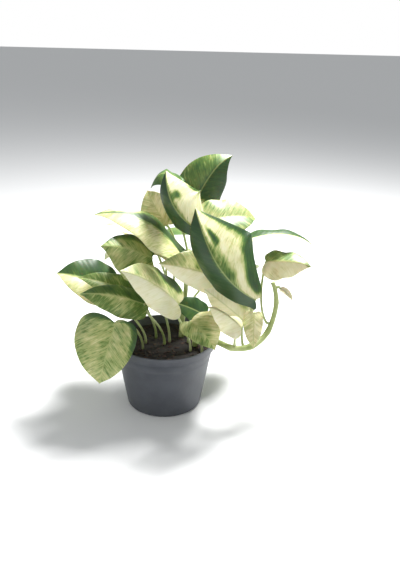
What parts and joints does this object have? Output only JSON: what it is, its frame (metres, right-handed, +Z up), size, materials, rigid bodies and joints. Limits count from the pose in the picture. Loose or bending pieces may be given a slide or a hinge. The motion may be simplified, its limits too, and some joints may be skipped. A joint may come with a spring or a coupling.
{
  "type": "potted pothos plant",
  "caption": "Bushy trailing pothos with marbled cream and green heart-shaped leaves, rooted in peat in a round tapered nursery pot.",
  "frame": {"origin": "centre of the pot's flat underside", "axes": "+Z up, -Y towards the plant's front, +X to the right, where the runner stem leaves the pot"},
  "size_m": [0.2987, 0.2008, 0.2863],
  "materials": {
    "pot_plastic": "fine satin",
    "peat": "rough, damp",
    "marbled_leaf": "waxy, marbled cream and green",
    "stalk": "smooth",
    "stem": "smooth with brown nodes"
  },
  "bodies": {
    "root": {"bright_edge_leaf": "marbled_leaf", "bright_edge_stalk": "stalk", "centre_white_leaf": "marbled_leaf", "centre_white_stalk": "stalk", "cream_trumpet_leaf": "marbled_leaf", "cream_trumpet_stalk": "stalk", "crown_centre_leaf": "marbled_leaf", "crown_centre_stalk": "stalk", "crown_hood_leaf": "marbled_leaf", "crown_hood_stalk": "stalk", "crown_right_leaf": "marbled_leaf", "crown_right_stalk": "stalk", "far_left_leaf": "marbled_leaf", "far_left_stalk": "stalk", "front_big_leaf": "marbled_leaf", "front_big_stalk": "stalk", "heart_leaf": "marbled_leaf", "heart_stalk": "stalk", "left_back_leaf": "marbled_leaf", "left_back_stalk": "stalk", "left_mid_leaf": "marbled_leaf", "left_mid_stalk": "stalk", "left_olive_leaf": "marbled_leaf", "left_olive_stalk": "stalk", "long_left_leaf": "marbled_leaf", "long_left_stalk": "stalk", "low_front_leaf": "marbled_leaf", "low_front_stalk": "stalk", "lower_left_leaf": "marbled_leaf", "lower_left_stalk": "stalk", "lower_right_leaf": "marbled_leaf", "lower_right_stalk": "stalk", "main_stem": "stem", "marbled_back_leaf": "marbled_leaf", "marbled_back_stalk": "stalk", "pale_cupped_leaf": "marbled_leaf", "pale_cupped_stalk": "stalk", "pot": "pot_plastic", "rear_centre_leaf": "marbled_leaf", "rear_centre_stalk": "stalk", "rear_left_leaf": "marbled_leaf", "rear_left_stalk": "stalk", "rear_right_leaf": "marbled_leaf", "rear_right_stalk": "stalk", "right_blade_leaf": "marbled_leaf", "right_blade_stalk": "stalk", "right_lower_leaf": "marbled_leaf", "right_lower_stalk": "stalk", "runner_stem": "stem", "second_long_left_leaf": "marbled_leaf", "second_long_left_stalk": "stalk", "shaded_centre_leaf": "marbled_leaf", "shaded_centre_stalk": "stalk", "soil": "peat", "young_leaf": "marbled_leaf", "young_stalk": "stalk"}
  },
  "joints": []
}
